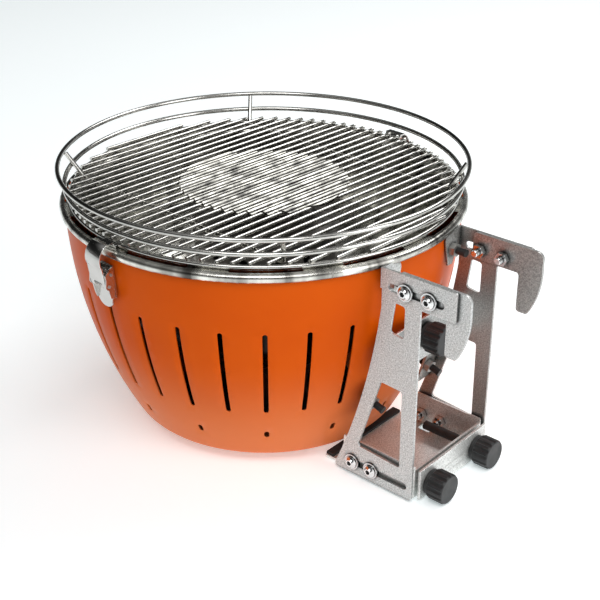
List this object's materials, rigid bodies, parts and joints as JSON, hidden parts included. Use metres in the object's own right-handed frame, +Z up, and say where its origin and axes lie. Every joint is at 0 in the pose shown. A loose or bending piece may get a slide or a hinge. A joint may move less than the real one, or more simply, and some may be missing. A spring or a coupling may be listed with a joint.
{
  "type": "portable tabletop grill",
  "caption": "Round fan-assisted charcoal tabletop grill: slotted orange bowl, wire grate with fence, rim clips and a steel bracket with hooks for a railing.",
  "frame": {"origin": "centre of the base, on the surface that the grill stands on", "axes": "+X from the bowl's axis out through the railing bracket, +Z up; the rim clips lie near +Y and -Y"},
  "size_m": [0.4246, 0.3714, 0.2355],
  "materials": {
    "bowl_paint": "satin-gloss orange enamel",
    "polished_steel": "polished stainless sheet",
    "grate_steel": "polished stainless wire",
    "bracket_steel": "speckled bead-blasted steel with bright edges",
    "housing_steel": "satin",
    "basket_steel": "heat-dulled",
    "motor_steel": "satin",
    "chrome_fastener": "bright",
    "zinc_fastener": "zinc plated",
    "black_steel": "black oxide",
    "black_plastic": "matte moulded",
    "black_rubber": "matte",
    "base_plastic": "fine texture",
    "fan_plastic": "satin",
    "cell_wrap": "shrink wrap"
  },
  "bodies": {
    "root": {"outer_bowl": "bowl_paint", "inner_bowl": "polished_steel", "base_pan": "base_plastic", "base_screws": "zinc_fastener", "base_nuts": "zinc_fastener", "fan_housing": "housing_steel", "motor_seat": "base_plastic", "fan_motor": "motor_steel", "battery_cells": "cell_wrap", "speed_switch": "base_plastic", "ignition_dish": "polished_steel", "clip_base_near": "polished_steel", "clip_base_far": "polished_steel", "clip_pivot_pins": "zinc_fastener", "clip_rivets": "zinc_fastener", "side_plate_near": "bracket_steel", "side_plate_far": "bracket_steel", "cross_plate": "bracket_steel", "bumper_screws": "black_steel", "bumper_tips": "black_rubber", "bumper_nuts": "zinc_fastener"},
    "grate": {"grate_ring": "grate_steel", "grate_bars": "grate_steel", "centre_disc": "grate_steel", "cross_rods": "grate_steel", "fence_top_ring": "grate_steel", "fence_mid_ring": "grate_steel"},
    "basket": {"charcoal_basket": "basket_steel"},
    "lid": {"basket_lid": "basket_steel"},
    "fan": {"impeller": "fan_plastic"},
    "speed_control": {"speed_knob": "black_plastic", "speed_stem": "black_steel"},
    "lever_near": {"clip_lever_near": "polished_steel", "strap_pin_near": "zinc_fastener"},
    "lever_far": {"clip_lever_far": "polished_steel", "strap_pin_far": "zinc_fastener"},
    "strap_near": {"clip_strap_near": "polished_steel"},
    "strap_far": {"clip_strap_far": "polished_steel"},
    "hook_near": {"hook_plate_near": "bracket_steel", "hook_bolts_near": "chrome_fastener", "hook_washers_near": "chrome_fastener", "hook_nuts_near": "chrome_fastener"},
    "hook_far": {"hook_plate_far": "bracket_steel", "hook_bolts_far": "chrome_fastener", "hook_washers_far": "chrome_fastener", "hook_nuts_far": "chrome_fastener"},
    "shelf": {"tray": "bracket_steel", "tray_bolts": "chrome_fastener", "tray_washers": "chrome_fastener", "tray_nuts": "chrome_fastener", "tongue_pad": "black_rubber", "weld_nuts": "zinc_fastener"},
    "clamp": {"clamp_plate": "bracket_steel"},
    "clamp_screw_near": {"clamp_knob_near": "black_plastic", "clamp_spindle_near": "black_steel"},
    "clamp_screw_far": {"clamp_knob_far": "black_plastic", "clamp_spindle_far": "black_steel"},
    "press": {"press_pad": "black_rubber"},
    "press_screw": {"press_knob": "black_plastic", "press_spindle": "black_steel"}
  },
  "joints": [
    {"name": "grate_lift", "type": "slide", "parent": "root", "child": "grate", "axis": [0, 0, 1], "range_m": [0, 0.12]},
    {"name": "basket_lift", "type": "slide", "parent": "root", "child": "basket", "axis": [0, 0, 1], "range_m": [0, 0.02]},
    {"name": "lid_lift", "type": "slide", "parent": "basket", "child": "lid", "axis": [0, 0, 1], "range_m": [0, 0.006]},
    {"name": "fan_spin", "type": "hinge", "parent": "root", "child": "fan", "pos_m": [0, 0, 0.04], "axis": [0, 0, 1], "continuous": true},
    {"name": "speed_turn", "type": "hinge", "parent": "root", "child": "speed_control", "pos_m": [-0.13514, 0.04261, 0.055], "axis": [-0.8843, 0.2788, -0.3746], "range_deg": [0, 270]},
    {"name": "clip_open_near", "type": "hinge", "parent": "root", "child": "lever_near", "pos_m": [-0.00924, -0.17626, 0.186], "axis": [-0.9986, 0.0523, 0], "range_deg": [0, 100]},
    {"name": "strap_swing_near", "type": "hinge", "parent": "lever_near", "child": "strap_near", "pos_m": [-0.00937, -0.17875, 0.1765], "axis": [-0.9986, 0.0523, 0], "range_deg": [-115.5, 0]},
    {"name": "hook_slide_near", "type": "slide", "parent": "root", "child": "hook_near", "axis": [1, 0, 0], "range_m": [-0.004, 0.01]},
    {"name": "clip_open_far", "type": "hinge", "parent": "root", "child": "lever_far", "pos_m": [0.00924, 0.17626, 0.186], "axis": [0.9986, -0.0523, 0], "range_deg": [0, 100]},
    {"name": "strap_swing_far", "type": "hinge", "parent": "lever_far", "child": "strap_far", "pos_m": [0.00937, 0.17875, 0.1765], "axis": [0.9986, -0.0523, 0], "range_deg": [-115.5, 0]},
    {"name": "hook_slide_far", "type": "slide", "parent": "root", "child": "hook_far", "axis": [1, 0, 0], "range_m": [-0.004, 0.01]},
    {"name": "shelf_slide", "type": "slide", "parent": "root", "child": "shelf", "axis": [1, 0, 0], "range_m": [0, 0.032]},
    {"name": "clamp_slide", "type": "slide", "parent": "shelf", "child": "clamp", "axis": [1, 0, 0], "range_m": [0, 0.01]},
    {"name": "clamp_turn_near", "type": "hinge", "parent": "clamp", "child": "clamp_screw_near", "pos_m": [0.215, -0.0326, 0.0134], "axis": [1, 0, 0], "range_deg": [0, 3601]},
    {"name": "clamp_turn_far", "type": "hinge", "parent": "clamp", "child": "clamp_screw_far", "pos_m": [0.215, 0.0326, 0.0134], "axis": [1, 0, 0], "range_deg": [0, 3601]},
    {"name": "press_slide", "type": "slide", "parent": "root", "child": "press", "axis": [1, 0, 0], "range_m": [0, 0.00525]},
    {"name": "press_turn", "type": "hinge", "parent": "press", "child": "press_screw", "pos_m": [0.18, 0, 0.124], "axis": [1, 0, 0], "range_deg": [0, 1891]}
  ],
  "couplings": [
    {"joint": "strap_swing_near", "follows": "clip_open_near", "ratio": -1.15},
    {"joint": "strap_swing_far", "follows": "clip_open_far", "ratio": -1.15},
    {"joint": "clamp_turn_near", "follows": "clamp_slide", "rad_per_m": 6283.2},
    {"joint": "clamp_turn_far", "follows": "clamp_slide", "rad_per_m": 6283.2},
    {"joint": "press_turn", "follows": "press_slide", "rad_per_m": 6283.2}
  ]
}
